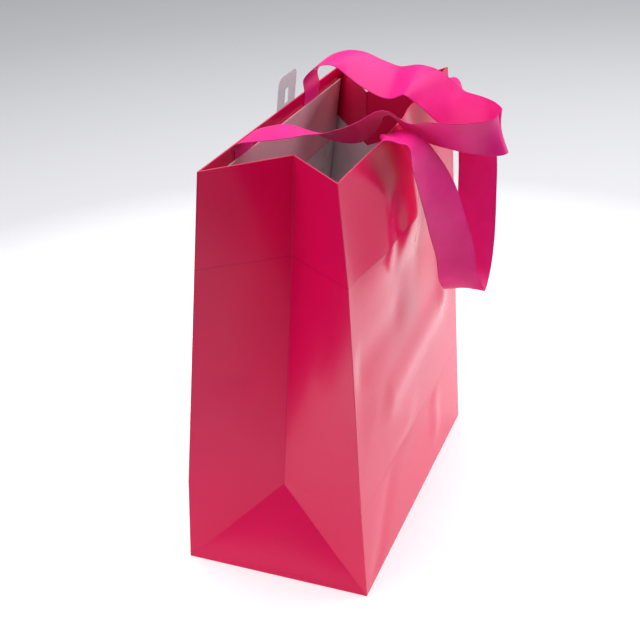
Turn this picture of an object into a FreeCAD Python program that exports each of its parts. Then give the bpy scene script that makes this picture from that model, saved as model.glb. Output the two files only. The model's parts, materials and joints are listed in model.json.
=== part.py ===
import FreeCAD, Part
import math
import os

import Sketcher
from FreeCAD import Placement, Rotation, Vector

# A paper gift bag with two ribbon handles, a loose base board and a clear hang tab.
# X runs along the bag's width, the front panel faces -Y, and the bag stands on Z = 0 with the
# origin at the middle of its base. The bag stands open with its mouth drawn in, so both main
# panels lean towards the middle, more above the base crease, and both gussets fold inwards.

os.makedirs("parts", exist_ok=True)
doc = FreeCAD.newDocument("gift_bag")

# ---------------------------------------------------------------- driving dimensions, in mm
SIZES = (
    ("bag_width", 230, "length of the base, along X"),
    ("bag_depth", 130, "depth of the base, along Y"),
    ("bag_height", 290, "height of the walls, measured along the paper"),
    ("front_lean", 12, "how far the front rim stands in from the base edge"),
    ("back_lean", 35, "how far the back rim stands in from the base edge"),
    ("front_foot_lean", 2.5, "how far the front base crease stands in from the base edge"),
    ("back_foot_lean", 5, "how far the back base crease stands in from the base edge"),
    ("gusset_tuck", 22, "how far the top of each foot triangle stands in from the base end"),
    ("shoulder_drop", 64, "storage crease below the rim"),
    ("paper", 0.3, "thickness of the sheet"),
    ("hem_depth", 40, "turned-in hem at the rim"),
    ("long_flap", 80, "reach of the two long bottom flaps"),
    ("end_flap", 55, "reach of the two end bottom flaps"),
    ("flap_gap", 1, "room beside the bottom flaps"),
    ("glue_gap", 0.1, "between a bottom flap and the wall that it folds from"),
    ("seam_width", 15, "width of the glued side seam flap"),
    ("seam_gap", 2, "room between the seam flap and the corner crease"),
    ("board_thick", 1.5, "base board"),
    ("board_end_gap", 4.5, "room at each end of the base board"),
    ("board_side_gap", 2.5, "room at each side of the base board"),
    ("board_corner", 3, "corner radius of the base board"),
    ("card_thick", 1, "rim cards"),
    ("card_depth", 45, "height of the rim cards"),
    ("card_drop", 10, "top of the rim cards below the rim"),
    ("card_inset", 7, "room at each end of the rim cards"),
    ("ribbon_width", 26, "both handles"),
    ("ribbon_thick", 0.5, "both handles"),
    ("ribbon_spacing", 108, "between the two ends of a handle, centre to centre"),
    ("tail_length", 38, "how far a ribbon end runs down below the rim"),
    ("hinge_rise", 0.6, "height of a handle's bending line above the rim"),
    ("tab_width", 30, "hang tab"),
    ("tab_rise", 22, "hang tab above the rim"),
    ("tab_foot", 34, "hang tab glued below the rim"),
    ("tab_thick", 0.4, "hang tab film"),
    ("tab_offset", 11, "hang tab to the side of the middle"),
    ("tab_corner", 5, "radius of the hang tab's upper corners"),
    ("slot_width", 6, "hook slot in the hang tab"),
    ("slot_rise", 10, "height of the hook slot"),
    ("slot_gap", 2, "hook slot above the rim"),
)

sheet = doc.addObject("Spreadsheet::Sheet", "Sizes")
for row, (alias, value, note) in enumerate(SIZES, start=1):
    sheet.set(f"A{row}", note)
    sheet.set(f"B{row}", str(value))
    sheet.setAlias(f"B{row}", alias)
doc.recompute()
size = {alias: float(sheet.get(alias)) for alias, _, _ in SIZES}

half_width = size["bag_width"] / 2
half_depth = size["bag_depth"] / 2
wall = size["paper"]
finished = []


def keep(thing, name, placement=None):
    """Give an object its node name and its place, and remember it for the export."""
    thing.Label = name
    if placement is not None:
        thing.Placement = placement
    finished.append(thing)
    return thing


# ------------------------------------------------------------------------- the folded sheet
def along(start, end, distance):
    """The point a given distance from start towards end."""
    return start + (end - start) * (distance / (end - start).Length)


def corner_points(side, face):
    """Points up one corner edge: base, base crease, shoulder, hem line and rim.

    side is -1 for the left end and 1 for the right, face is -1 for the front and 1 for the back.
    """
    word = "front" if face < 0 else "back"
    foot_lean = size[word + "_foot_lean"]
    upper_lean = size[word + "_lean"] - foot_lean
    base = Vector(side * half_width, face * half_depth, 0)
    crease = base + Vector(0, -face * foot_lean, math.sqrt(half_depth**2 - foot_lean**2))
    upper_length = size["bag_height"] - half_depth
    rim = crease + Vector(0, -face * upper_lean, math.sqrt(upper_length**2 - upper_lean**2))
    return {
        "base": base,
        "crease": crease,
        "shoulder": along(rim, crease, size["shoulder_drop"]),
        "hem": along(rim, crease, size["hem_depth"]),
        "rim": rim,
    }


def fold_points(side, front, back):
    """Points up the middle fold of a gusset: foot apex, shoulder, hem line and rim.

    Each half of a gusset is half the bag's depth wide, which sets how far its fold goes in.
    """
    apex = Vector(
        side * (half_width - size["gusset_tuck"]),
        0,
        math.sqrt(half_depth**2 - size["gusset_tuck"] ** 2),
    )
    fold = {"apex": apex}
    steps = (
        ("shoulder", "apex", size["bag_height"] - half_depth - size["shoulder_drop"]),
        ("rim", "shoulder", size["shoulder_drop"]),
    )
    for level, below, length in steps:
        half_mouth = (back[level].y - front[level].y) / 2
        inward = math.sqrt(half_depth**2 - half_mouth**2)
        x = side * (half_width - inward)
        y = (back[level].y + front[level].y) / 2
        start = fold[below]
        rise = math.sqrt(length**2 - (x - start.x) ** 2 - (y - start.y) ** 2)
        fold[level] = Vector(x, y, start.z + rise)
    fold["hem"] = along(fold["rim"], fold["shoulder"], size["hem_depth"])
    return fold


LEFT, RIGHT, FRONT, BACK = -1, 1, -1, 1
points = {}
for side, end in ((LEFT, "left"), (RIGHT, "right")):
    front = corner_points(side, FRONT)
    back = corner_points(side, BACK)
    fold = fold_points(side, front, back)
    for place, group in (("front", front), ("back", back), ("fold", fold)):
        for level, point in group.items():
            points[f"{end}_{place}_{level}"] = point


def main_facets(face):
    """The facets of the front or back panel, from the base up."""
    levels = ("base", "crease", "shoulder", "hem", "rim")
    return [
        (f"left_{face}_{low}", f"right_{face}_{low}", f"right_{face}_{high}", f"left_{face}_{high}")
        for low, high in zip(levels, levels[1:])
    ]


def gusset_facets(end, face):
    """The facets of one half of a gusset, from the foot up."""
    corner = f"{end}_{face}"
    fold = f"{end}_fold"
    return [
        (f"{corner}_base", f"{corner}_crease", f"{fold}_apex"),
        (f"{corner}_crease", f"{corner}_shoulder", f"{fold}_shoulder", f"{fold}_apex"),
        (f"{corner}_shoulder", f"{corner}_hem", f"{fold}_hem", f"{fold}_shoulder"),
        (f"{corner}_hem", f"{corner}_rim", f"{fold}_rim", f"{fold}_hem"),
    ]


# Each panel: its facets and the way that its outer face looks.
panels = {
    "front_panel": (main_facets("front"), Vector(0, -1, 0)),
    "back_panel": (main_facets("back"), Vector(0, 1, 0)),
}
for side, end in ((LEFT, "left"), (RIGHT, "right")):
    outward = Vector(side, 0, 0)
    for face in ("front", "back"):
        panels[f"{end}_gusset_{face}"] = (gusset_facets(end, face), outward)
    foot = (f"{end}_front_base", f"{end}_back_base", f"{end}_fold_apex")
    panels[f"{end}_foot"] = ([foot], outward)


def triangles(facets, outward):
    """Split facets into triangles whose normals point outward."""
    found = []
    for facet in facets:
        for k in range(1, len(facet) - 1):
            a, b, c = facet[0], facet[k], facet[k + 1]
            normal = (points[b] - points[a]).cross(points[c] - points[a])
            if normal * outward < 0:
                b, c = c, b
            found.append((a, b, c))
    return found


def triangle_normal(triangle):
    a, b, c = (points[name] for name in triangle)
    return (b - a).cross(c - a).normalize()


def inward_steps():
    """For each point, the step that moves one unit in from every facet that meets there."""
    normals = {name: [] for name in points}
    for facets, outward in panels.values():
        for triangle in triangles(facets, outward):
            for name in triangle:
                normals[name].append(triangle_normal(triangle))
    steps = {}
    for name, around in normals.items():
        step = Vector(0, 0, 0)
        for _ in range(400):
            for normal in around:
                step -= normal * (normal * step + 1)
        steps[name] = step
    return steps


inward = inward_steps()


def triangle_face(corners):
    return Part.Face(Part.makePolygon(list(corners) + [corners[0]]))


def layer(facets, outward, first, last):
    """A solid of the facets between two depths below the sheet's outer face."""
    pieces = triangles(facets, outward)
    outer = {name: points[name] + inward[name] * first for name in points}
    inner = {name: points[name] + inward[name] * last for name in points}
    edges = {(a, b) for t in pieces for a, b in zip(t, t[1:] + t[:1])}
    rim_edges = [tuple(sorted(edge)) for edge in edges if edge[::-1] not in edges]
    faces = [triangle_face([outer[name] for name in t]) for t in pieces]
    faces += [triangle_face([inner[name] for name in t[::-1]]) for t in pieces]
    for a, b in rim_edges:
        faces.append(triangle_face([outer[a], outer[b], inner[b]]))
        faces.append(triangle_face([outer[a], inner[b], inner[a]]))
    solid = Part.Solid(Part.Shell(faces))
    if solid.Volume < 0:
        solid.reverse()
    return solid


def shape_object(name, solid):
    thing = doc.addObject("Part::Feature", name)
    thing.Shape = solid
    return keep(thing, name)


for name, (facets, outward) in panels.items():
    shape_object(name, layer(facets, outward, 0, wall))

# The hem is the top facet of every wall, turned in as a second layer.
for name, (facets, outward) in panels.items():
    if not name.endswith("foot"):
        hem_name = name.replace("_panel", "").replace("_gusset", "") + "_hem"
        shape_object(hem_name, layer(facets[-1:], outward, wall, 2 * wall))


# ------------------------------------------------------- flat pieces, each a sketch and a pad
def body_with_sketch(name, outline):
    """A body with one closed sketch on its XY plane. Returns the body and the sketch."""
    body = doc.addObject("PartDesign::Body", name)
    sketch = body.newObject("Sketcher::SketchObject", name + "_sketch")
    plane = next(f for f in body.Origin.OriginFeatures if f.Role == "XY_Plane")
    sketch.AttachmentSupport = [(plane, "")]
    sketch.MapMode = "FlatFace"
    outline(sketch)
    return body, sketch


def pad(body, sketch, length):
    """Pad the sketch by an expression of the sheet."""
    feature = body.newObject("PartDesign::Pad", body.Name + "_pad")
    feature.Profile = sketch
    feature.setExpression("Length", length)
    body.Tip = feature
    doc.recompute()
    return feature


def rectangle(width, height, low_y="0"):
    """An outline centred on X, from low_y up, whose sizes are expressions of the sheet."""

    def draw(sketch):
        corners = [Vector(-9, 1, 0), Vector(9, 1, 0), Vector(9, 9, 0), Vector(-9, 9, 0)]
        for start, end in zip(corners, corners[1:] + corners[:1]):
            sketch.addGeometry(Part.LineSegment(start, end), False)
        for k in range(4):
            sketch.addConstraint(Sketcher.Constraint("Coincident", k, 2, (k + 1) % 4, 1))
        for k, way in ((1, "Vertical"), (2, "Horizontal"), (3, "Vertical")):
            sketch.addConstraint(Sketcher.Constraint(way, k))
        sketch.addConstraint(Sketcher.Constraint("Symmetric", 0, 1, 0, 2, -2))
        sketch.addConstraint(Sketcher.Constraint("PointOnObject", 0, 1, -1))
        sketch.setExpression("AttachmentOffset.Base.y", low_y)
        named = (
            ("width", Sketcher.Constraint("DistanceX", 0, 1, 0, 2, 18), width),
            ("height", Sketcher.Constraint("DistanceY", 1, 1, 1, 2, 8), height),
        )
        for alias, constraint, expression in named:
            index = sketch.addConstraint(constraint)
            sketch.renameConstraint(index, alias)
            sketch.setExpression("Constraints." + alias, expression)

    return draw


def flat_piece(name, width, height, thickness, placement, low_y="0", corner=None, side_edges="upper"):
    """A flat rectangular body, with its upper or all four corners rounded if corner is given."""
    body, sketch = body_with_sketch(name, rectangle(width, height, low_y))
    feature = pad(body, sketch, thickness)
    if corner:
        upright = []
        top = feature.Shape.BoundBox.YMax
        for number, edge in enumerate(feature.Shape.Edges, start=1):
            box = edge.BoundBox
            stands = box.ZLength > 0.5 * feature.Shape.BoundBox.ZLength
            if stands and (side_edges == "all" or abs(box.YMax - top) < 1e-6):
                upright.append(f"Edge{number}")
        fillet = body.newObject("PartDesign::Fillet", name + "_corners")
        fillet.Base = (feature, upright)
        fillet.setExpression("Radius", corner)
        body.Tip = fillet
        doc.recompute()
    return keep(body, name, placement)


# The bottom: two end flaps folded in first, then the back flap, then the front flap outside.
def bottom_placement(face, height):
    """A sheet lying flat, with its local +Y pointing in from the front or back wall."""
    turn = Rotation(Vector(0, 0, 1), 0 if face == FRONT else 180)
    return Placement(Vector(0, face * (half_depth - wall - size["glue_gap"]), height), turn)


flap_length = "Sizes.bag_width - 2 * Sizes.flap_gap"
flat_piece("front_bottom_flap", flap_length, "Sizes.long_flap", "Sizes.paper", bottom_placement(FRONT, 0))
flat_piece("back_bottom_flap", flap_length, "Sizes.long_flap", "Sizes.paper", bottom_placement(BACK, wall))
for side, end in ((LEFT, "left"), (RIGHT, "right")):
    quarter_turn = Rotation(Vector(0, 0, 1), -90 if side == LEFT else 90)
    place = Vector(side * (half_width - size["flap_gap"]), 0, 2 * wall)
    flat_piece(
        f"{end}_bottom_flap",
        "Sizes.bag_depth - 2 * Sizes.flap_gap",
        "Sizes.end_flap",
        "Sizes.paper",
        Placement(place, quarter_turn),
    )

board_bottom = 3 * wall
flat_piece(
    "base_board",
    "Sizes.bag_width - 2 * Sizes.board_end_gap",
    "Sizes.bag_depth - 2 * Sizes.board_side_gap",
    "Sizes.board_thick",
    Placement(Vector(0, 0, board_bottom), Rotation()),
    low_y="-(Sizes.bag_depth / 2 - Sizes.board_side_gap)",
    corner="Sizes.board_corner",
    side_edges="all",
)


# ---------------------------------------------- pieces that lie against a leaning main panel
def on_panel(face, x, depth):
    """A placement with its origin on the rim, local +Y up the panel and +Z into the bag."""
    rim = points[f"left_{'front' if face == FRONT else 'back'}_rim"]
    crease = points[f"left_{'front' if face == FRONT else 'back'}_crease"]
    up = (rim - crease).normalize()
    into = Vector(1, 0, 0).cross(up).normalize()
    if into.y * face > 0:
        into = -into
    across = up.cross(into)
    origin = Vector(x, rim.y, rim.z) + into * depth
    return Placement(origin, Rotation(across, up, into, "ZXY"))


ribbon_depth = 2 * wall
card_depth_in = 2 * wall + size["ribbon_thick"]

for face, word in ((FRONT, "front"), (BACK, "back")):
    flat_piece(
        f"{word}_rim_card",
        "Sizes.bag_width - 2 * Sizes.card_inset",
        "Sizes.card_depth",
        "Sizes.card_thick",
        on_panel(face, 0, card_depth_in),
        low_y="-(Sizes.card_drop + Sizes.card_depth)",
    )
    for side, end in ((LEFT, "left"), (RIGHT, "right")):
        flat_piece(
            f"{word}_ribbon_{end}_tail",
            "Sizes.ribbon_width",
            "Sizes.tail_length",
            "Sizes.ribbon_thick",
            on_panel(face, side * size["ribbon_spacing"] / 2, ribbon_depth),
            low_y="-Sizes.tail_length",
        )

# The side seam: a strip of the sheet glued inside the back panel, beside the right corner.
flat_piece(
    "side_seam_flap",
    "Sizes.seam_width",
    "Sizes.bag_height - Sizes.bag_depth / 2 - Sizes.hem_depth - Sizes.seam_gap",
    "Sizes.paper",
    on_panel(BACK, half_width - size["seam_gap"] - size["seam_width"] / 2, wall),
    low_y="-(Sizes.bag_height - Sizes.bag_depth / 2 - Sizes.seam_gap)",
)

# The hang tab: clear film glued between the back hem and the card, standing above the rim.
tab_place = on_panel(BACK, size["tab_offset"], ribbon_depth)
flat_piece("hang_tab_foot", "Sizes.tab_width", "Sizes.tab_foot", "Sizes.tab_thick", tab_place, low_y="-Sizes.tab_foot")
tab = flat_piece(
    "hang_tab",
    "Sizes.tab_width",
    "Sizes.tab_rise",
    "Sizes.tab_thick",
    tab_place,
    corner="Sizes.tab_corner",
)
slot_outline = rectangle("Sizes.slot_width", "Sizes.slot_rise", "Sizes.slot_gap")
slot_sketch = tab.newObject("Sketcher::SketchObject", "hook_slot_sketch")
slot_sketch.AttachmentSupport = [
    (next(f for f in tab.Origin.OriginFeatures if f.Role == "XY_Plane"), "")
]
slot_sketch.MapMode = "FlatFace"
slot_outline(slot_sketch)
solid_before = tab.Shape.Volume
slot = tab.newObject("PartDesign::Pocket", "hook_slot")
slot.Profile = slot_sketch
slot.Type = "ThroughAll"
slot.Midplane = True
tab.Tip = slot
doc.recompute()
slot_volume = size["slot_width"] * size["slot_rise"] * size["tab_thick"]
if abs(solid_before - tab.Shape.Volume - slot_volume) > 0.01 * slot_volume:
    raise ValueError("the hook slot is not cut through the hang tab")


# ------------------------------------------------------------------------ the ribbon handles
def strip(stations):
    """A ribbon solid through stations of (centre, direction across the width)."""
    half = size["ribbon_width"] / 2
    thin = size["ribbon_thick"] / 2
    centres = [centre for centre, _ in stations]
    rings = []
    for k, (centre, across) in enumerate(stations):
        ahead = centres[min(k + 1, len(centres) - 1)]
        behind = centres[max(k - 1, 0)]
        travel = (ahead - behind).normalize()
        if 0 < k < len(centres) - 1:
            across = across - travel * (across * travel)
        across = across.normalize()
        normal = travel.cross(across).normalize()
        rings.append(
            [
                centre - across * half - normal * thin,
                centre + across * half - normal * thin,
                centre + across * half + normal * thin,
                centre - across * half + normal * thin,
            ]
        )
    faces = [Part.Face(Part.makePolygon(ring + ring[:1])) for ring in (rings[0], rings[-1])]
    # Both broad faces are split along the same diagonal, so that a twisted stretch stays thin.
    for low, high in zip(rings, rings[1:]):
        for k, n, diagonal in ((0, 1, 0), (1, 2, 1), (2, 3, 3), (3, 0, 0)):
            other = n if diagonal == k else k
            faces.append(triangle_face([low[k], low[n], high[other]]))
            faces.append(triangle_face([low[diagonal], high[n], high[k]]))
    shell = Part.Shell(faces)
    solid = Part.Solid(shell)
    solid.fix(1e-6, 1e-6, 1e-6)
    if solid.Volume < 0:
        solid.reverse()
    return solid


front_rim = points["left_front_rim"]
back_rim = points["left_back_rim"]
mouth = back_rim.y - front_rim.y
tail_middle = 2 * wall + size["ribbon_thick"] / 2
start_x = size["ribbon_spacing"] / 2


def handle_start(rim, face, side):
    """The middle of a handle's bending line, just above the rim and inside the hem."""
    return Vector(side * start_x, rim.y - face * tail_middle, rim.z + size["hinge_rise"])


def half_height(across):
    """How far the ribbon's middle is above its lower edge, where its width slopes like across."""
    return abs(Vector(*across).normalize().z) * size["ribbon_width"] / 2


def over_mouth(x, crossed, beyond, rise, across):
    """A station of the back handle: the share of the mouth crossed, how far past the front rim
    it is, and the height of the ribbon's lower edge above the line from rim to rim."""
    y = back_rim.y - crossed * mouth - beyond
    z = back_rim.z + (front_rim.z - back_rim.z) * crossed + rise + half_height(across)
    return Vector(x, y, z), Vector(*across)


def outside_front(x, out, rise, across):
    """A station of the front handle, from the front rim: how far out the ribbon's middle is, and
    how far up its lower edge is."""
    z = front_rim.z + rise + half_height(across)
    return Vector(x, front_rim.y - out, z), Vector(*across)


# The back handle lies across the mouth and over the front rim, and turns back on itself there.
back_handle = [
    (handle_start(back_rim, BACK, LEFT), Vector(1, 0, 0)),
    over_mouth(-54, 0.157, 0, 2.5, (1, 0, 0.05)),
    over_mouth(-52, 0.313, 0, 4.5, (1, 0.1, 0)),
    over_mouth(-48, 0.48, 0, 0.0, (0.95, 0.1, -0.25)),
    over_mouth(-43, 0.65, 0, -6.0, (0.85, 0.1, -0.5)),
    over_mouth(-38, 0.82, 0, -6.5, (0.77, 0, -0.64)),
    over_mouth(-29, 1, 0, 5.5, (0.9, 0, -0.42)),
    over_mouth(-22, 1, 15, -6.5, (0.77, 0, -0.64)),
    over_mouth(-16, 1, 31, -13.0, (0.64, 0, -0.77)),
    over_mouth(-11, 1, 46, -16.5, (0.5, 0, -0.87)),
    over_mouth(-3, 1, 58.5, -19.0, (0.26, 0.05, -0.96)),
    over_mouth(8, 1, 64, -19.0, (-0.15, -0.3, -0.94)),
    over_mouth(18, 1, 55, -18.0, (-0.2, 0, -0.97)),
    over_mouth(24, 1, 42, -15.0, (-0.45, 0.05, -0.89)),
    over_mouth(29, 1, 27, -12.5, (-0.5, 0, -0.86)),
    over_mouth(35, 1, 9, -1.5, (-0.6, 0, -0.8)),
    over_mouth(40, 0.96, 0, 5.4, (-0.85, 0, -0.5)),
    over_mouth(47, 0.77, 0, 0.0, (-0.8, 0, -0.6)),
    over_mouth(53, 0.57, 0, 4.0, (-0.83, 0, -0.56)),
    over_mouth(57, 0.4, 0, 11.0, (-0.9, 0, -0.42)),
    over_mouth(57, 0.25, 0, 18.0, (-1, 0, -0.1)),
    over_mouth(56, 0.12, 0, 16.5, (-1, 0, 0)),
    over_mouth(55, 0.02, 0, 8.0, (-1, 0, 0)),
    (handle_start(back_rim, BACK, RIGHT), Vector(-1, 0, 0)),
]
shape_object("back_handle", strip(back_handle))

# The front handle goes over the rim and hangs outside the front panel, turned edge-on.
front_handle = [
    (handle_start(front_rim, FRONT, LEFT), Vector(1, 0, 0)),
    outside_front(-51, 7, 2.4, (1, -0.05, -0.1)),
    outside_front(-46, 13, -2.5, (0.95, -0.1, -0.35)),
    outside_front(-39, 20, -4.5, (1, -0.1, 0)),
    outside_front(-27.5, 26, -22.0, (0.95, -0.3, 0)),
    outside_front(-17, 30, -41.5, (0.83, -0.56, 0)),
    outside_front(-5, 33, -67.5, (0.67, -0.74, 0)),
    outside_front(4, 36, -91.0, (0.55, -0.83, -0.05)),
    outside_front(9, 37, -110.5, (0.45, -0.88, -0.1)),
    outside_front(20, 39.5, -123.5, (0.35, -0.93, -0.1)),
    outside_front(32, 40, -114.5, (0.25, -0.96, 0)),
    outside_front(39, 40.5, -94.5, (0.15, -0.98, 0)),
    outside_front(47, 39, -64.5, (0.1, -0.99, 0)),
    outside_front(54, 37, -41.0, (0, -1, 0)),
    outside_front(57.5, 33, -19.0, (-0.5, -0.87, 0)),
    outside_front(59, 27, -4.0, (-0.85, -0.5, 0)),
    outside_front(58.5, 18, 6.0, (-1, -0.1, 0)),
    outside_front(57, 8, 4.0, (-1, 0, 0)),
    (handle_start(front_rim, FRONT, RIGHT), Vector(-1, 0, 0)),
]
shape_object("front_handle", strip(front_handle))

# ------------------------------------------------------------------------- check and export
doc.recompute()
for thing in doc.Objects:
    if "Invalid" in thing.State or "Error" in thing.State:
        raise ValueError(f"{thing.Label} did not build: {thing.State}")
for thing in finished:
    if thing.Shape.isNull() or not thing.Shape.isValid() or thing.Shape.Volume <= 0:
        raise ValueError(f"{thing.Label} is not a valid solid")
for thing in finished:
    thing.Shape.exportStep(f"parts/{thing.Label}.step")

for rim, face, word in ((front_rim, FRONT, "front"), (back_rim, BACK, "back")):
    line = handle_start(rim, face, LEFT)
    print(f"{word} handle bends about y {line.y:.3f}, z {line.z:.3f}")
for name, stations in (("back_handle", back_handle), ("front_handle", front_handle)):
    length = sum((b[0] - a[0]).Length for a, b in zip(stations, stations[1:]))
    print(f"{name} is {length:.0f} mm along its middle")
print(f"{len(finished)} pieces written")
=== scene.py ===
import bmesh
import bpy
import json
import math
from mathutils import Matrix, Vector


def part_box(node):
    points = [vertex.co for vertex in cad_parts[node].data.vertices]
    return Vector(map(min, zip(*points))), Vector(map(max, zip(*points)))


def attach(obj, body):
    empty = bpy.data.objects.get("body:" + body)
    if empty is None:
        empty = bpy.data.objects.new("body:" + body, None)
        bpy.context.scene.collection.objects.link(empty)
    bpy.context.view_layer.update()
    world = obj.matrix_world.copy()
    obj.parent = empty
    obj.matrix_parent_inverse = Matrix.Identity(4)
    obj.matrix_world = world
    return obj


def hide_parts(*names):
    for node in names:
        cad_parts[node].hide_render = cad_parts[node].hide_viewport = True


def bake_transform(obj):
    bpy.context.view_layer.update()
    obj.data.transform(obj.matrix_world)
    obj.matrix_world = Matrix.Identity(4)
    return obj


# A pink paper gift bag with two satin ribbon handles, on a pale floor. All lengths are in metres.
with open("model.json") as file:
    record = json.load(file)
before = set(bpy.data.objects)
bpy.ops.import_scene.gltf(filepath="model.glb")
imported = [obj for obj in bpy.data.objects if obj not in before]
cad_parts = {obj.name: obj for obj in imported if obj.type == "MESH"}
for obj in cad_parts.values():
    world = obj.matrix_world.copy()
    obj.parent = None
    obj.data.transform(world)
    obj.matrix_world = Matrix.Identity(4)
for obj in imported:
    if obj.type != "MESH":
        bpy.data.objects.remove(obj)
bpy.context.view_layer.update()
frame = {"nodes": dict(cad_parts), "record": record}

# ------------------------------------------------------------------ sizes that the frame gives
HALF_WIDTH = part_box("front_panel")[1][0]
HALF_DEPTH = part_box("back_panel")[1][1]
hinges = {joint["name"]: joint.get("pos_m") for joint in frame["record"]["behaviour"]["joints"]}
FRONT_HINGE = Vector(hinges["front_handle_lift"])
BACK_HINGE = Vector(hinges["back_handle_lift"])

# ------------------------------------------------------------------- sizes that the sheet has
BAG_HEIGHT = 0.290
GUSSET_TUCK = 0.022
SHOULDER = BAG_HEIGHT - 0.064
HEM = 0.040
PAPER = 0.0003
RIBBON_WIDTH = 0.026
RIBBON_THICK = 0.0004
RIBBON_START = 0.054
TAIL = 0.038
CARD_DROP = 0.010
CARD_DEPTH = 0.045
CARD_INSET = 0.007
CARD_BEHIND = 0.0011
CARD_THICK = 0.001
SEAM_REACH = (0.098, 0.113)
RIBBON_CROWN = 0.0006
SELVEDGE = 0.0009
HINGE_RISE = 0.0006
HINGE_DEPTH = 0.00085
LEFT, RIGHT, FRONT, BACK = -1, 1, -1, 1
FOOT_LEAN = {FRONT: 0.0025, BACK: 0.005}
SHOULDER_OUT = {FRONT: 0.002, BACK: 0.0}
RIM_OUT = {(LEFT, FRONT): 0.001, (RIGHT, FRONT): -0.0013, (LEFT, BACK): 0.0016, (RIGHT, BACK): -0.003}
FOLD_BACK = 0.0035


# ----------------------------------------------------------------------------------- the camera
def make_camera():
    """A camera above the bag's left end, seeing the front panel at a grazing angle."""
    yaw, pitch, roll = (math.radians(angle) for angle in (-67.7, 28.3, -2.5))
    back = Vector((math.sin(yaw) * math.cos(pitch), -math.cos(yaw) * math.cos(pitch), math.sin(pitch)))
    level = Vector((0, 0, 1)).cross(back).normalized()
    upright = back.cross(level)
    right = level * math.cos(roll) + upright * math.sin(roll)
    up = upright * math.cos(roll) - level * math.sin(roll)
    data = bpy.data.cameras.new("camera")
    data.lens = 65
    data.sensor_width = 36
    data.clip_start = 0.01
    camera = bpy.data.objects.new("camera", data)
    bpy.context.collection.objects.link(camera)
    matrix = camera.matrix_world.copy()
    for row in range(3):
        matrix[row][0] = right[row]
        matrix[row][1] = up[row]
        matrix[row][2] = back[row]
    matrix.translation = Vector((-0.6642, -0.2654, 0.5229))
    camera.matrix_world = matrix
    bpy.context.scene.camera = camera


make_camera()


# ------------------------------------------------------------------------------ small maths
def smooth(value, low, high):
    """0 below low, 1 above high, and an even slope between."""
    t = min(max((value - low) / (high - low), 0), 1)
    return t * t * (3 - 2 * t)


def bump(distance, width):
    """A soft bell of height 1."""
    return math.exp(-((distance / width) ** 2))


def from_segment(x, y, start, end):
    """How far the point (x, y) is from the segment."""
    point, a, b = Vector((x, y)), Vector(start), Vector(end)
    run = b - a
    t = min(max((point - a).dot(run) / max(run.length_squared, 1e-12), 0), 1)
    return (point - a - run * t).length


# -------------------------------------------------------------------- where the sheet lies
def corner_edge(side, face):
    """The base, base crease and rim points of one corner edge."""
    hinge = FRONT_HINGE if face == FRONT else BACK_HINGE
    lean = FOOT_LEAN[face]
    base = Vector((side * HALF_WIDTH, face * HALF_DEPTH, 0))
    crease = base + Vector((0, -face * lean, math.sqrt(HALF_DEPTH**2 - lean**2)))
    rim = Vector((side * HALF_WIDTH, hinge.y + face * HINGE_DEPTH, hinge.z - HINGE_RISE))
    return base, crease, rim + Vector((0, face * RIM_OUT[side, face], 0))


def shoulder_share(height):
    """1 on the storage crease, falling evenly to 0 at the base crease and at the rim."""
    if height > SHOULDER:
        return (BAG_HEIGHT - height) / (BAG_HEIGHT - SHOULDER)
    return max(height - HALF_DEPTH, 0) / (SHOULDER - HALF_DEPTH)


def corner_at(side, face, height):
    """The point of a corner edge at a height measured along the paper."""
    base, crease, rim = corner_edge(side, face)
    if height <= HALF_DEPTH:
        return base.lerp(crease, height / HALF_DEPTH)
    point = crease.lerp(rim, (height - HALF_DEPTH) / (BAG_HEIGHT - HALF_DEPTH))
    return point + Vector((0, face * SHOULDER_OUT[face] * shoulder_share(height), 0))


def fold_at(side, height):
    """The point of a gusset's middle fold at a height along the paper, above its apex."""
    apex = Vector((side * (HALF_WIDTH - GUSSET_TUCK), 0, math.sqrt(HALF_DEPTH**2 - GUSSET_TUCK**2)))
    low, low_height = apex, HALF_DEPTH
    for level in (SHOULDER, BAG_HEIGHT):
        front = corner_at(side, FRONT, level)
        back = corner_at(side, BACK, level)
        half_mouth = (back.y - front.y) / 2
        x = side * (HALF_WIDTH - math.sqrt(HALF_DEPTH**2 - half_mouth**2))
        y = (front.y + back.y) / 2 + FOLD_BACK
        run = level - low_height
        rise = math.sqrt(run**2 - (x - low.x) ** 2 - (y - low.y) ** 2)
        high = Vector((x, y, low.z + rise))
        if height <= level + 1e-9:
            return low.lerp(high, (height - low_height) / run)
        low, low_height = high, level
    return low


def gusset_inner_edge(side, face, height):
    """The inner edge of a gusset half: the foot's diagonal, then the middle fold."""
    if height <= HALF_DEPTH:
        base = corner_edge(side, face)[0]
        return base.lerp(fold_at(side, HALF_DEPTH), height / HALF_DEPTH)
    return fold_at(side, height)


# ------------------------------------------------------------------- how the sheet is bent
# Each soft ridge or dent: start and end across and up the panel, its width, its height outward.
FRONT_BENDS = (
    ((0.070, 0.160), (0.070, 0.135), 0.012, 0.0016),
    ((0.066, 0.130), (-0.050, 0.118), 0.014, 0.0018),
    ((-0.110, 0.165), (-0.035, 0.170), 0.016, -0.0018),
    ((0.020, 0.195), (0.100, 0.175), 0.018, -0.0016),
    ((-0.080, 0.120), (-0.020, 0.080), 0.020, 0.0012),
    ((0.050, 0.055), (0.050, 0.030), 0.010, 0.0008),
    ((-0.060, 0.050), (-0.090, 0.010), 0.012, -0.0006),
)
BACK_BENDS = (
    ((-0.060, 0.190), (0.030, 0.140), 0.020, 0.0018),
    ((0.040, 0.200), (0.080, 0.110), 0.022, -0.0016),
    ((-0.080, 0.110), (-0.030, 0.080), 0.018, -0.0012),
    ((0.010, 0.050), (0.020, 0.020), 0.014, 0.0007),
)
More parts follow.
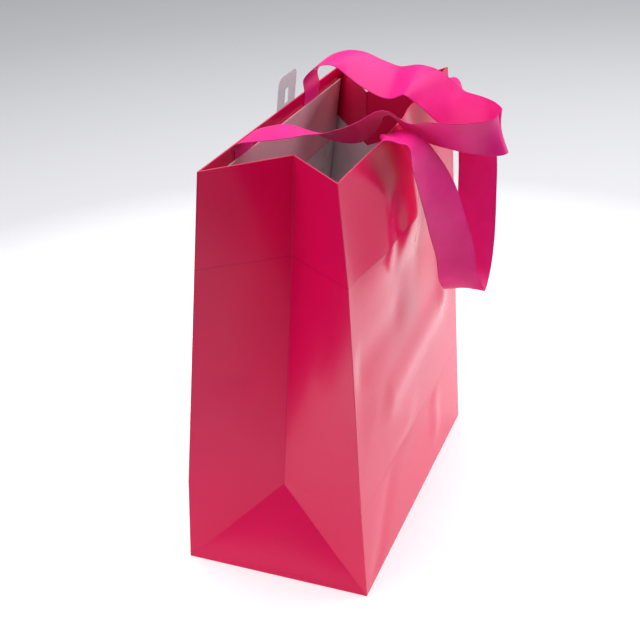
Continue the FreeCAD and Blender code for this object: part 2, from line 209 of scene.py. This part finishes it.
GUSSET_BENDS = (
    ((0.014, 0.268), (0.036, 0.232), 0.011, 0.0012),
    ((0.030, 0.205), (0.030, 0.150), 0.014, -0.0011),
    ((0.020, 0.125), (0.045, 0.095), 0.013, 0.0010),
)


def bends(across, height, table):
    return sum(tall * bump(from_segment(across, height, a, b), wide) for a, b, wide, tall in table)


def front_band(x, height):
    """Above the storage crease the front panel bows out, with a trough beside the left ribbon."""
    bow = 0.0055 * smooth(x, -HALF_WIDTH, -0.030) * (1 - smooth(x, -0.004, 0.024))
    trough = -0.0022 * bump(x + 0.038, 0.015)
    rise = smooth(height, SHOULDER - 0.035, SHOULDER + 0.006)
    ease = 1 - 0.55 * smooth(height, SHOULDER + 0.030, BAG_HEIGHT)
    ease_trough = 1 - smooth(height, SHOULDER + 0.004, SHOULDER + 0.040)
    return rise * (bow * ease + trough * ease_trough)


def main_bend(face, x, height):
    """How far a main panel stands out from flat."""
    table = FRONT_BENDS if face == FRONT else BACK_BENDS
    ends = smooth(HALF_WIDTH - abs(x), 0, 0.018)
    base = smooth(height, 0, 0.010)
    crease = smooth(abs(height - HALF_DEPTH), 0, 0.010)
    top = 1 - smooth(height, SHOULDER - 0.004, SHOULDER + 0.010)
    soft = bends(x, height, table) * ends * base * crease * top
    if face == FRONT:
        ridge = 0.003 * shoulder_share(height) * smooth(HALF_WIDTH - abs(x), 0, 0.070)
        return soft + ridge + front_band(x, height) * smooth(HALF_WIDTH - abs(x), 0, 0.012)
    return soft


def main_point(face, x, height):
    """A point of the front or back panel's outer face."""
    share = (x + HALF_WIDTH) / (2 * HALF_WIDTH)
    point = corner_at(LEFT, face, height).lerp(corner_at(RIGHT, face, height), share)
    return point + Vector((0, face * main_bend(face, x, height), 0))


def gusset_point(side, face, share, height):
    """A point of a gusset half's outer face, from its corner, 0, to its fold, 1."""
    outer = corner_at(side, face, height)
    inner = gusset_inner_edge(side, face, height)
    point = outer.lerp(inner, share)
    across = share * HALF_DEPTH
    shift = 0.006 if side * face > 0 else 0
    soft = bends(across, height + shift, GUSSET_BENDS)
    fade = smooth(share, 0, 0.2) * smooth(1 - share, 0, 0.2) * smooth(height, HALF_DEPTH, HALF_DEPTH + 0.02)
    top = 1 - smooth(height, BAG_HEIGHT - 0.012, BAG_HEIGHT)
    out = Vector((side, face * 0.8, 0)).normalized()
    return point + out * soft * fade * (0.3 + 0.7 * top)


def foot_point(side, share, height):
    """A point of the foot triangle, whose base lies on the floor and whose apex is at the fold."""
    front = gusset_inner_edge(side, FRONT, height)
    back = gusset_inner_edge(side, BACK, height)
    belly = 0.0006 * math.sin(math.pi * share) * math.sin(math.pi * height / HALF_DEPTH)
    return front.lerp(back, share) + Vector((side * belly, 0, 0))


# ------------------------------------------------------------------------------ mesh helpers
FOLD_ROUND = 0.0006


def steps(low, high, count, creases=()):
    """Even steps from low to high, with a narrow band on each side of every crease."""
    values = [low + (high - low) * k / count for k in range(count + 1)]
    near = list(creases) + [low, high]
    kept = [v for v in values if all(abs(v - c) > 2.5 * FOLD_ROUND for c in near)]
    for c in near:
        kept += [v for v in (c - FOLD_ROUND, c, c + FOLD_ROUND) if low - 1e-9 <= v <= high + 1e-9]
    return sorted(kept)


def fold_weight(value, lines):
    """1 on a fold line and 0 beyond the narrow band beside it."""
    return 1.0 if any(abs(value - line) < FOLD_ROUND / 2 for line in lines) else 0.0


class SheetMesh:
    """A mesh put together from grids that share their edges."""

    def __init__(self, name):
        self.name = name
        self.mesh = bmesh.new()
        self.fold = self.mesh.verts.layers.float.new("fold")
        self.flat = self.mesh.loops.layers.uv.new("flat")

    def grid(self, us, vs, point, fold, flat, material=0):
        rows = []
        for v in vs:
            row = []
            for u in us:
                vertex = self.mesh.verts.new(point(u, v))
                vertex[self.fold] = fold(u, v)
                row.append((vertex, flat(u, v)))
            rows.append(row)
        for low, high in zip(rows, rows[1:]):
            for (a, b), (d, c) in zip(zip(low, low[1:]), zip(high, high[1:])):
                corners = [a, b, c, d]
                spots = [corner[0] for corner in corners]
                if len({tuple(round(x, 7) for x in spot.co) for spot in spots}) < 3:
                    continue
                face = self.mesh.faces.new(spots)
                face.smooth = True
                face.material_index = material
                for loop, corner in zip(face.loops, corners):
                    loop[self.flat].uv = corner[1]

    def finish(self, materials, thickness, offset, out=None):
        """Join the grids, give them a thickness, and return the object."""
        bmesh.ops.remove_doubles(self.mesh, verts=self.mesh.verts, dist=0.00002)
        bmesh.ops.recalc_face_normals(self.mesh, faces=self.mesh.faces)
        if out is not None:
            score = sum(face.normal.dot(out(face.calc_center_median())) for face in self.mesh.faces)
            if score < 0:
                bmesh.ops.reverse_faces(self.mesh, faces=self.mesh.faces)
        data = bpy.data.meshes.new(self.name)
        self.mesh.to_mesh(data)
        self.mesh.free()
        for material in materials:
            data.materials.append(material)
        thing = bpy.data.objects.new(self.name, data)
        bpy.context.collection.objects.link(thing)
        solid = thing.modifiers.new("thickness", "SOLIDIFY")
        solid.thickness = thickness
        solid.offset = offset
        solid.use_even_offset = True
        if len(materials) > 1:
            solid.material_offset = 1
        return thing


def away_from_middle(spot):
    return Vector((spot.x, spot.y, 0))


# --------------------------------------------------------------------------------- materials
class Nodes:
    """A short way to write a node material."""

    def __init__(self, name):
        self.material = bpy.data.materials.new(name)
        self.material.use_nodes = True
        self.tree = self.material.node_tree
        self.shader = self.tree.nodes["Principled BSDF"]

    def add(self, kind, **values):
        node = self.tree.nodes.new(kind)
        for key, value in values.items():
            setattr(node, key, value)
        return node

    def link(self, start, end):
        self.tree.links.new(start, end)

    def set(self, name, value):
        self.shader.inputs[name].default_value = value

    def coordinates(self, kind="Object", scale=(1, 1, 1)):
        place = self.add("ShaderNodeTexCoord")
        mapping = self.add("ShaderNodeMapping")
        mapping.inputs["Scale"].default_value = scale
        self.link(place.outputs[kind], mapping.inputs["Vector"])
        return mapping.outputs["Vector"]

    def noise(self, vector, scale, detail=3.0, roughness=0.5):
        node = self.add("ShaderNodeTexNoise")
        node.inputs["Scale"].default_value = scale
        node.inputs["Detail"].default_value = detail
        node.inputs["Roughness"].default_value = roughness
        self.link(vector, node.inputs["Vector"])
        return node.outputs["Fac"]

    def ramp(self, factor, stops):
        node = self.add("ShaderNodeValToRGB")
        node.color_ramp.elements[0].position = stops[0][0]
        node.color_ramp.elements[0].color = stops[0][1]
        node.color_ramp.elements[1].position = stops[-1][0]
        node.color_ramp.elements[1].color = stops[-1][1]
        for position, color in stops[1:-1]:
            node.color_ramp.elements.new(position).color = color
        self.link(factor, node.inputs["Fac"])
        return node.outputs["Color"]

    def spread(self, factor, low, high):
        """A factor from 0.3 to 0.7 mapped to low and high."""
        node = self.add("ShaderNodeMapRange")
        node.inputs["From Min"].default_value = 0.3
        node.inputs["From Max"].default_value = 0.7
        node.inputs["To Min"].default_value = low
        node.inputs["To Max"].default_value = high
        self.link(factor, node.inputs["Value"])
        return node.outputs["Result"]

    def between(self, value, low, high):
        """0 below low, 1 above high, and an even slope between."""
        node = self.add("ShaderNodeMapRange", interpolation_type="SMOOTHSTEP")
        node.inputs["From Min"].default_value = low
        node.inputs["From Max"].default_value = high
        self.link(value, node.inputs["Value"])
        return node.outputs["Result"]

    def mix(self, factor, first, second):
        node = self.add("ShaderNodeMix", data_type="RGBA")
        self.link(factor, node.inputs["Factor"])
        for socket, color in ((node.inputs[6], first), (node.inputs[7], second)):
            if isinstance(color, tuple):
                socket.default_value = color
            else:
                self.link(color, socket)
        return node.outputs[2]

    def scaled(self, factor, by):
        node = self.add("ShaderNodeMath", operation="MULTIPLY")
        node.inputs[1].default_value = by
        node.use_clamp = True
        self.link(factor, node.inputs[0])
        return node.outputs[0]

    def bumps(self, *layers):
        """Bump layers of (height, distance in metres, strength), one over the other."""
        before = None
        for height, distance, strength in layers:
            node = self.add("ShaderNodeBump")
            node.inputs["Distance"].default_value = distance
            node.inputs["Strength"].default_value = strength
            self.link(height, node.inputs["Height"])
            if before is not None:
                self.link(before, node.inputs["Normal"])
            before = node.outputs["Normal"]
        self.link(before, self.shader.inputs["Normal"])

    def attribute(self, name):
        node = self.add("ShaderNodeAttribute")
        node.attribute_name = name
        return node.outputs["Fac"]


def coated_paper(name, base=(0.78, 0.002, 0.090, 1)):
    """Pink art paper under a smooth film, paler where a fold has cracked the ink, and with painted shade
    darkening the inward folds and creases.
    """
    n = Nodes(name)
    place = n.coordinates()
    broad = n.noise(place, 9, 2)
    fibre = n.noise(n.coordinates(scale=(1, 1, 0.35)), 260, 4, 0.6)
    deep = tuple(c * 0.93 for c in base[:3]) + (1,)
    tone = n.ramp(broad, [(0.3, deep), (0.7, base)])
    mark = n.attribute("fold")
    worn = n.mix(n.scaled(mark, 0.38), tone, (0.90, 0.22, 0.32, 1))
    # Painted shade: where the fold mark is negative (the storage crease, the base crease, the gusset middle
    # folds and the foot diagonals), the colour darkens to deep red.
    fold_shaded = n.mix(n.scaled(mark, -0.45), worn, (0.22, 0.0, 0.02, 1))
    n.link(fold_shaded, n.shader.inputs["Base Color"])
    n.link(n.spread(fibre, 0.16, 0.21), n.shader.inputs["Roughness"])
    n.set("Specular IOR Level", 0.3)
    n.bumps((broad, 0.003, 0.08))
    return n.material


def plain_paper(name, base):
    """Uncoated paper or card with soft cloudy tone and fine fibres."""
    n = Nodes(name)
    place = n.coordinates()
    cloud = n.noise(place, 45, 4, 0.6)
    fibre = n.noise(n.coordinates(scale=(1, 1, 0.25)), 700, 4, 0.7)
    deep = tuple(c * 0.90 for c in base[:3]) + (1,)
    tone = n.ramp(cloud, [(0.3, deep), (0.7, base)])
    flecks = n.ramp(fibre, [(0.62, (0, 0, 0, 1)), (0.78, (1, 1, 1, 1))])
    pale = tuple(min(c * 1.12, 1) for c in base[:3]) + (1,)
    n.link(n.mix(flecks, tone, pale), n.shader.inputs["Base Color"])
    n.link(n.spread(fibre, 0.75, 0.90), n.shader.inputs["Roughness"])
    n.set("Specular IOR Level", 0.3)
    n.bumps((cloud, 0.0006, 0.15), (fibre, 0.0002, 0.35))
    return n.material


def satin(name):
    """Woven satin: floats across the ribbon, a smooth sheen, and a tight edge on each side."""
    n = Nodes(name)
    weft = n.noise(n.coordinates("UV", scale=(60, 9000, 1)), 1.0, 2)
    warp = n.noise(n.coordinates("UV", scale=(5200, 160, 1)), 1.0, 2)
    cloud = n.noise(n.coordinates(), 60, 2)
    edge = n.attribute("fold")
    tone = n.ramp(cloud, [(0.3, (0.84, 0.006, 0.225, 1)), (0.7, (0.95, 0.012, 0.275, 1))])
    woven = n.mix(n.scaled(warp, 0.25), tone, (0.95, 0.05, 0.32, 1))
    n.link(n.mix(n.scaled(edge, 0.35), woven, (0.50, 0.004, 0.10, 1)), n.shader.inputs["Base Color"])
    n.link(n.spread(weft, 0.34, 0.44), n.shader.inputs["Roughness"])
    n.set("Specular IOR Level", 0.25)
    n.set("Sheen Weight", 0.10)
    n.set("Sheen Roughness", 0.35)
    n.set("Sheen Tint", (1.0, 0.35, 0.65, 1))
    n.bumps((warp, 0.00012, 0.25), (weft, 0.00008, 0.2))
    return n.material


def film(name):
    """Clear film, slightly grey, with fine scuffs."""
    n = Nodes(name)
    scuff = n.noise(n.coordinates(scale=(1, 1, 4)), 420, 4, 0.7)
    tone = n.ramp(scuff, [(0.35, (0.62, 0.60, 0.64, 1)), (0.7, (0.72, 0.70, 0.74, 1))])
    n.link(tone, n.shader.inputs["Base Color"])
    n.link(n.spread(scuff, 0.12, 0.24), n.shader.inputs["Roughness"])
    n.set("Alpha", 0.5)
    n.bumps((scuff, 0.0001, 0.15))
    return n.material


def painted_light_floor(name):
    """A pale floor with a painted pool of light: white near the bag, turning grey with distance. It also
    turns mid-grey beyond x = -0.25 and y = -0.25, outside the main view, a painted shade which darkens what
    the glossy paper mirrors. The floor glows with its own colour."""
    n = Nodes(name)
    place = n.coordinates()
    distance = n.add("ShaderNodeVectorMath", operation="LENGTH")
    n.link(place, distance.inputs[0])
    scaled = n.scaled(distance.outputs["Value"], 0.25)
    grain = n.noise(place, 300, 2)
    white, grey, deep = (0.90, 0.90, 0.91, 1), (0.54, 0.54, 0.56, 1), (0.46, 0.46, 0.48, 1)
    # Painted pool of light: white near the bag, fading to grey with distance.
    tone = n.ramp(scaled, [(0.09, white), (0.16, grey), (0.36, deep)])
    axes = n.add("ShaderNodeSeparateXYZ")
    n.link(place, axes.inputs[0])
    # Painted shade: mid-grey beyond x = -0.25 and y = -0.25, to darken what the glossy paper mirrors.
    for axis in ("X", "Y"):
        lit = n.between(axes.outputs[axis], -0.42, -0.25)
        tone = n.mix(lit, (0.30, 0.30, 0.31, 1), tone)
    n.link(tone, n.shader.inputs["Base Color"])
    # The floor glows with its own colour: painted light.
    n.link(tone, n.shader.inputs["Emission Color"])
    n.set("Emission Strength", 0.38)
    n.set("Roughness", 0.8)
    n.set("Specular IOR Level", 0.2)
    n.bumps((grain, 0.0002, 0.1))
    return n.material


outside = coated_paper("coated_paper_outside")
inside = plain_paper("uncoated_paper_inside", (0.88, 0.83, 0.85, 1))
card = plain_paper("mauve_card", (0.86, 0.46, 0.54, 1))
board = plain_paper("grey_board", (0.50, 0.42, 0.41, 1))
ribbon_satin = satin("pink_satin")
clear = film("clear_film")


# --------------------------------------------------------------------------- the paper walls
CREASES = (HALF_DEPTH, SHOULDER)
wall_rows = steps(0, BAG_HEIGHT, 96, CREASES)
foot_rows = [height for height in wall_rows if height <= HALF_DEPTH + 1e-9]
panel_columns = steps(-HALF_WIDTH, HALF_WIDTH, 92)
gusset_columns = [value / HALF_DEPTH for value in steps(0, HALF_DEPTH, 26)]


def main_fold(x, height):
    ends = fold_weight(x, (-HALF_WIDTH, HALF_WIDTH))
    outer = max(0.7 * ends, fold_weight(height, (0, BAG_HEIGHT)))
    # The outer folds are paler with cracked ink; the storage crease and the base crease get painted shade.
    return outer - fold_weight(height, (SHOULDER,)) - 0.7 * fold_weight(height, (HALF_DEPTH,))


def gusset_fold(share, height):
    outer = max(0.7 * fold_weight(share, (0,)), fold_weight(height, (BAG_HEIGHT,)))
    foot = height < HALF_DEPTH + FOLD_ROUND
    # Painted shade along the middle fold, the valley, and on the storage crease.
    valley = (0.5 if foot else 0.8) * fold_weight((1 - share) * HALF_DEPTH, (0,))
    return outer - 0.8 * fold_weight(height, (SHOULDER,)) - valley


def foot_fold(share, height):
    # The foot's diagonals get painted shade; its floor edge is paler with cracked ink.
    return fold_weight(height, (0,)) - 0.5 * fold_weight(share * HALF_DEPTH, (0, HALF_DEPTH))


def add_walls(sheet, rows):
    """The two main panels and the four gusset halves, for rows of heights along the paper."""
    for face in (FRONT, BACK):
        sheet.grid(
            panel_columns,
            rows,
            lambda x, height, face=face: main_point(face, x, height),
            main_fold,
            lambda x, height: (x, height),
        )
        for side in (LEFT, RIGHT):
            sheet.grid(
                gusset_columns,
                rows,
                lambda share, height, face=face, side=side: gusset_point(side, face, share, height),
                gusset_fold,
                lambda share, height: (HALF_WIDTH + share * HALF_DEPTH, height),
            )


def make_walls():
    sheet = SheetMesh("paper_walls")
    add_walls(sheet, wall_rows)
    for side in (LEFT, RIGHT):
        sheet.grid(
            gusset_columns,
            foot_rows,
            lambda share, height, side=side: foot_point(side, share, height),
            foot_fold,
            lambda share, height: (share * HALF_DEPTH, height),
        )
    walls = sheet.finish([outside, inside], PAPER, -1, away_from_middle)
    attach(walls, "bag")
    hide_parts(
        "front_panel",
        "back_panel",
        "left_gusset_front",
        "left_gusset_back",
        "right_gusset_front",
        "right_gusset_back",
        "left_foot",
        "right_foot",
    )
    return walls


def make_hem():
    """The hem is the sheet turned in at the rim, so its coated side faces the inside."""
    rows = [height for height in wall_rows if height > BAG_HEIGHT - HEM] + [BAG_HEIGHT - HEM]
    sheet = SheetMesh("turned_hem")
    add_walls(sheet, sorted(rows))
    hem = sheet.finish([outside], PAPER, -3, away_from_middle)
    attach(hem, "bag")
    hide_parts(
        "front_hem",
        "back_hem",
        "left_front_hem",
        "left_back_hem",
        "right_front_hem",
        "right_back_hem",
    )
    return hem


def lining_strip(name, face, across, heights, depth, thickness, material, node):
    """A flat piece that lies against the inside of a main panel and follows its bends."""
    sheet = SheetMesh(name)
    columns = steps(across[0], across[1], max(8, round((across[1] - across[0]) / 0.003)))
    rows = steps(heights[0], heights[1], max(8, round((heights[1] - heights[0]) / 0.003)))
    sheet.grid(
        columns,
        rows,
        lambda x, height: main_point(face, x, height),
        lambda x, height: 0.0,
        lambda x, height: (x, height),
    )
    offset = -2 * depth / thickness - 1
    piece = sheet.finish([material], thickness, offset, lambda spot: Vector((0, face, 0)))
    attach(piece, "bag")
    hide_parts(node)
    return piece


make_walls()
make_hem()
card_reach = (-HALF_WIDTH + CARD_INSET, HALF_WIDTH - CARD_INSET)
card_heights = (BAG_HEIGHT - CARD_DROP - CARD_DEPTH, BAG_HEIGHT - CARD_DROP)
for face, word in ((FRONT, "front"), (BACK, "back")):
    lining_strip(
        f"{word}_card",
        face,
        card_reach,
        card_heights,
        CARD_BEHIND,
        CARD_THICK,
        card,
        f"{word}_rim_card",
    )
lining_strip(
    "seam_strip",
    BACK,
    SEAM_REACH,
    (HALF_DEPTH + 0.002, BAG_HEIGHT - HEM),
    PAPER,
    PAPER,
    inside,
    "side_seam_flap",
)


# --------------------------------------------------------------------------------- the ribbons
def rim_y(face):
    hinge = FRONT_HINGE if face == FRONT else BACK_HINGE
    return hinge.y + face * HINGE_DEPTH


def rim_z(face):
    hinge = FRONT_HINGE if face == FRONT else BACK_HINGE
    return hinge.z - HINGE_RISE


MOUTH = rim_y(BACK) - rim_y(FRONT)


def tail_station(face, side, below, across):
    """The middle of a ribbon's glued tail, a given distance below the rim. across is 1 or -1."""
    height = BAG_HEIGHT - below
    middle = side * RIBBON_START
    point = main_point(face, middle, height)
    reach = RIBBON_WIDTH / 2
    slope = main_point(face, middle + reach, height) - main_point(face, middle - reach, height)
    return point + Vector((0, -face * HINGE_DEPTH, 0)), slope.normalized() * across


def root(face, side, across):
    """The glued tail of a ribbon up to its bend at the rim."""
    return [tail_station(face, side, below, across) for below in (TAIL, 0.020, 0.006, 0.001)]


def half_height(across):
    return abs(Vector(across).normalized().z) * RIBBON_WIDTH / 2


def over_mouth(x, crossed, beyond, rise, across):
    """A station of the back handle, in millimetres: the share of the mouth crossed, how far past
    the front rim it is, and the height of its lower edge above the line from rim to rim."""
    y = rim_y(BACK) - crossed * MOUTH - beyond / 1000
    z = rim_z(BACK) + (rim_z(FRONT) - rim_z(BACK)) * crossed + rise / 1000 + half_height(across)
    return Vector((x / 1000, y, z)), Vector(across)


def outside_front(x, out, rise, across):
    """A station of the front handle, in millimetres: how far out from the front rim its middle
    is, and how far up its lower edge is."""
    z = rim_z(FRONT) + rise / 1000 + half_height(across)
    return Vector((x / 1000, rim_y(FRONT) - out / 1000, z)), Vector(across)


back_route = [
    over_mouth(-54, 0.157, 0, 2.5, (1, 0, 0.05)),
    over_mouth(-52, 0.313, 0, 4.5, (1, 0.1, 0)),
    over_mouth(-48, 0.48, 0, 0.0, (0.95, 0.1, -0.25)),
    over_mouth(-43, 0.65, 0, -6.0, (0.85, 0.1, -0.5)),
    over_mouth(-38, 0.82, 0, -6.5, (0.77, 0, -0.64)),
    over_mouth(-29, 1, 0, 5.5, (0.9, 0, -0.42)),
    over_mouth(-22, 1, 15, -6.5, (0.77, 0, -0.64)),
    over_mouth(-16, 1, 31, -13.0, (0.64, 0, -0.77)),
    over_mouth(-11, 1, 46, -16.5, (0.5, 0, -0.87)),
    over_mouth(-3, 1, 58.5, -19.0, (0.26, 0.05, -0.96)),
    over_mouth(8, 1, 64, -19.0, (-0.15, -0.3, -0.94)),
    over_mouth(18, 1, 55, -18.0, (-0.2, 0, -0.97)),
    over_mouth(24, 1, 42, -15.0, (-0.45, 0.05, -0.89)),
    over_mouth(29, 1, 27, -12.5, (-0.5, 0, -0.86)),
    over_mouth(35, 1, 9, -1.5, (-0.6, 0, -0.8)),
    over_mouth(40, 0.96, 0, 5.4, (-0.85, 0, -0.5)),
    over_mouth(47, 0.77, 0, 0.0, (-0.8, 0, -0.6)),
    over_mouth(53, 0.57, 0, 4.0, (-0.83, 0, -0.56)),
    over_mouth(57, 0.4, 0, 11.0, (-0.9, 0, -0.42)),
    over_mouth(57, 0.25, 0, 18.0, (-1, 0, -0.1)),
    over_mouth(56, 0.12, 0, 16.5, (-1, 0, 0)),
    over_mouth(55, 0.02, 0, 8.0, (-1, 0, 0)),
]
front_route = [
    outside_front(-51, 7, 2.4, (1, -0.05, -0.1)),
    outside_front(-46, 13, -2.5, (0.95, -0.1, -0.35)),
    outside_front(-39, 20, -4.5, (1, -0.1, 0)),
    outside_front(-27.5, 26, -22.0, (0.95, -0.3, 0)),
    outside_front(-17, 30, -41.5, (0.83, -0.56, 0)),
    outside_front(-5, 33, -67.5, (0.67, -0.74, 0)),
    outside_front(4, 36, -91.0, (0.55, -0.83, -0.05)),
    outside_front(9, 37, -110.5, (0.45, -0.88, -0.1)),
    outside_front(20, 39.5, -123.5, (0.35, -0.93, -0.1)),
    outside_front(32, 40, -114.5, (0.25, -0.96, 0)),
    outside_front(39, 40.5, -94.5, (0.15, -0.98, 0)),
    outside_front(47, 39, -64.5, (0.1, -0.99, 0)),
    outside_front(54, 37, -41.0, (0, -1, 0)),
    outside_front(57.5, 33, -19.0, (-0.5, -0.87, 0)),
    outside_front(59, 27, -4.0, (-0.85, -0.5, 0)),
    outside_front(58.5, 18, 6.0, (-1, -0.1, 0)),
    outside_front(57, 8, 4.0, (-1, 0, 0)),
]


def curve_through(stations, pieces):
    """Smooth stations through the given ones, with a tangent that suits uneven spacing."""
    spots = [spot for spot, _ in stations]
    sides = [side.normalized() for _, side in stations]
    times = [0.0]
    for a, b in zip(spots, spots[1:]):
        times.append(times[-1] + math.sqrt((b - a).length))

    def slope(values, k):
        low, high = max(k - 1, 0), min(k + 1, len(values) - 1)
        if low == k or high == k:
            return (values[high] - values[low]) / (times[high] - times[low])
        first = (values[k] - values[low]) / (times[k] - times[low])
        second = (values[high] - values[k]) / (times[high] - times[k])
        share = (times[k] - times[low]) / (times[high] - times[low])
        return first * (1 - share) + second * share

    def between(values, k, t):
        run = times[k + 1] - times[k]
        a, b = values[k], values[k + 1]
        da, db = slope(values, k) * run, slope(values, k + 1) * run
        from_a = a * (2 * t**3 - 3 * t**2 + 1) + da * (t**3 - 2 * t**2 + t)
        return from_a + b * (3 * t**2 - 2 * t**3) + db * (t**3 - t**2)

    result = []
    for k in range(len(stations) - 1):
        for n in range(pieces):
            result.append((between(spots, k, n / pieces), between(sides, k, n / pieces)))
    result.append((spots[-1], sides[-1]))
    return result


def ribbon_mesh(name, stations, glued):
    """A ribbon along the stations, with a slight crown across it and a selvedge at each edge.
    It stays flat along the glued length at each of its ends."""
    line = curve_through(stations, 8)
    edge = SELVEDGE
    half = RIBBON_WIDTH / 2
    offsets = steps(-half, half, 12)
    offsets = [value for value in offsets if abs(value) < half - 2 * edge]
    offsets = [-half, -half + edge / 2, -half + edge] + offsets + [half - edge, half - edge / 2, half]
    sheet = SheetMesh(name)
    travelled = [0.0]
    for (a, _), (b, _) in zip(line, line[1:]):
        travelled.append(travelled[-1] + (b - a).length)

    def spot(across, index):
        centre, side = line[index]
        ahead = line[min(index + 1, len(line) - 1)][0]
        behind = line[max(index - 1, 0)][0]
        travel = (ahead - behind).normalized()
        side = (side - travel * side.dot(travel)).normalized()
        normal = travel.cross(side).normalized()
        ends = min(travelled[index], travelled[-1] - travelled[index])
        arch = RIBBON_CROWN * (1 - (across / half) ** 2) * smooth(ends, glued, glued + 0.03)
        ripple = 0.00035 * math.sin(travelled[index] * 95 + across * 60)
        ripple *= smooth(ends, glued, glued + 0.02)
        return centre + side * across + normal * (arch + ripple)

    sheet.grid(
        offsets,
        range(len(line)),
        spot,
        lambda across, index: 1.0 if abs(across) > half - edge * 0.75 else 0.0,
        lambda across, index: (across, travelled[index]),
    )
    piece = sheet.finish([ribbon_satin], RIBBON_THICK, 0)
    return piece, travelled[-1]


def make_handle(name, face, route, nodes, glued):
    """One ribbon, bending at the rim. It has its glued tails too, unless glued is 0."""
    left, right = root(face, LEFT, 1), root(face, RIGHT, -1)[::-1]
    if glued == 0:
        left, right = left[-1:], right[:1]
    ribbon, length = ribbon_mesh(name, left + route + right, glued)
    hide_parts(*nodes)
    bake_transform(ribbon)
    return ribbon


make_handle(
    "back_ribbon_loop",
    BACK,
    back_route,
    ("back_handle", "back_ribbon_left_tail", "back_ribbon_right_tail"),
    TAIL,
)
make_handle(
    "front_ribbon_loop",
    FRONT,
    front_route,
    ("front_handle",),
    0,
)
# The front panel flares out below the rim, so the front ribbon's tails are strips of their own,
# which stay on the bag when the loop turns.
for side, word in ((LEFT, "left"), (RIGHT, "right")):
    lining_strip(
        f"front_ribbon_{word}_strip",
        FRONT,
        (side * RIBBON_START - RIBBON_WIDTH / 2, side * RIBBON_START + RIBBON_WIDTH / 2),
        (BAG_HEIGHT - TAIL, BAG_HEIGHT - 0.001),
        HINGE_DEPTH - RIBBON_THICK / 2,
        RIBBON_THICK,
        ribbon_satin,
        f"front_ribbon_{word}_tail",
    )


# ------------------------------------------------------------------- pieces kept from the frame
def dress(node, material):
    """Give a CAD node its material."""
    thing = frame["nodes"][node]
    thing.data.materials.clear()
    thing.data.materials.append(material)


for node in ("front_bottom_flap", "back_bottom_flap", "left_bottom_flap", "right_bottom_flap"):
    dress(node, outside)
dress("base_board", board)
dress("hang_tab", clear)
dress("hang_tab_foot", clear)


# ------------------------------------------------------------------------- floor and lighting
def make_floor():
    size = 6.0
    data = bpy.data.meshes.new("floor")
    corners = [(-size, -size, 0), (size, -size, 0), (size, size, 0), (-size, size, 0)]
    data.from_pydata(corners, [], [(0, 1, 2, 3)])
    data.materials.append(painted_light_floor("pale_floor"))
    floor = bpy.data.objects.new("floor", data)
    floor.location = (0, 0, -0.0002)
    bpy.context.collection.objects.link(floor)


def make_world():
    world = bpy.data.worlds.new("studio")
    world.use_nodes = True
    background = world.node_tree.nodes["Background"]
    background.inputs["Color"].default_value = (0.93, 0.95, 1.0, 1)
    background.inputs["Strength"].default_value = 0.27
    bpy.context.scene.world = world


def soft_light(name, place, target, size, power):
    data = bpy.data.lights.new(name, "AREA")
    data.shape = "RECTANGLE"
    data.size, data.size_y = size
    data.energy = power
    light = bpy.data.objects.new(name, data)
    light.location = place
    light.rotation_euler = (Vector(target) - Vector(place)).to_track_quat("-Z", "Y").to_euler()
    bpy.context.collection.objects.link(light)


make_floor()
make_world()
soft_light("overhead", (0.1, 0.1, 1.6), (0, 0, 0.1), (1.6, 1.6), 26)
soft_light("back_left_fill", (-1.0, 1.1, 0.8), (0, 0, 0.12), (1.0, 1.0), 6)
soft_light("front_right_fill", (1.0, -1.2, 0.7), (0, 0, 0.12), (1.0, 1.0), 13)
bpy.context.scene.view_settings.view_transform = "Standard"
